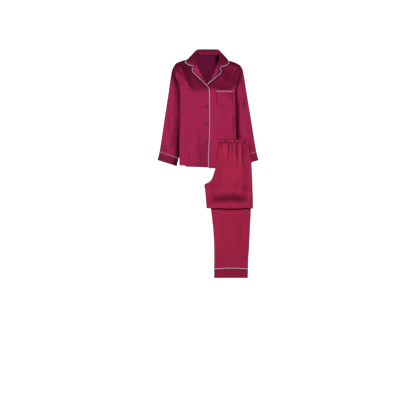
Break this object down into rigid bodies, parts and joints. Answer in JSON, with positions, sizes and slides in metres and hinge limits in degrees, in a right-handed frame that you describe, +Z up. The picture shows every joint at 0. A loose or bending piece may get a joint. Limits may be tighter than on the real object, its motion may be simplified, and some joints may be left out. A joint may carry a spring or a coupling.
{
  "type": "pyjama set",
  "caption": "Long-sleeved satin pyjama shirt with a notched collar, contrast piping and a chest pocket, laid flat with its long trousers folded lengthwise over one corner.",
  "frame": {"origin": "bottom centre of the set's bounding box, on the plane that the cloth lies on", "axes": "+Y from the trouser hems to the collar, +X to the wearer's left, +Z up from the plane that the cloth lies on"},
  "size_m": [0.6081, 1.371, 0.0251],
  "materials": {
    "satin": "soft crimson satin with a broad tinted sheen",
    "satin_inside": "matt reverse of the satin, dark maroon",
    "piping": "pale pink satin cord",
    "button": "polished dark burgundy resin"
  },
  "bodies": {
    "root": {"shirt_back": "satin_inside", "shirt_front_right": "satin", "shirt_front_left": "satin", "lapel_right": "satin", "lapel_left": "satin", "collar": "satin", "sleeve_right": "satin", "sleeve_left": "satin", "cuff_right": "satin", "cuff_left": "satin", "pocket": "satin", "pocket_band": "satin", "waistband": "satin", "leg_left": "satin", "folded_layers_upper": "satin", "folded_layers_lower": "satin", "hem_band_left": "satin", "hem_band_right": "satin", "piping_front_right": "piping", "piping_front_left": "piping", "piping_collar_right": "piping", "piping_collar_left": "piping", "piping_cuff_right": "piping", "piping_cuff_left": "piping", "piping_pocket": "piping", "piping_hem_left": "piping", "piping_hem_right": "piping", "button_1": "button", "button_2": "button", "button_3": "button", "button_4": "button"}
  },
  "joints": []
}
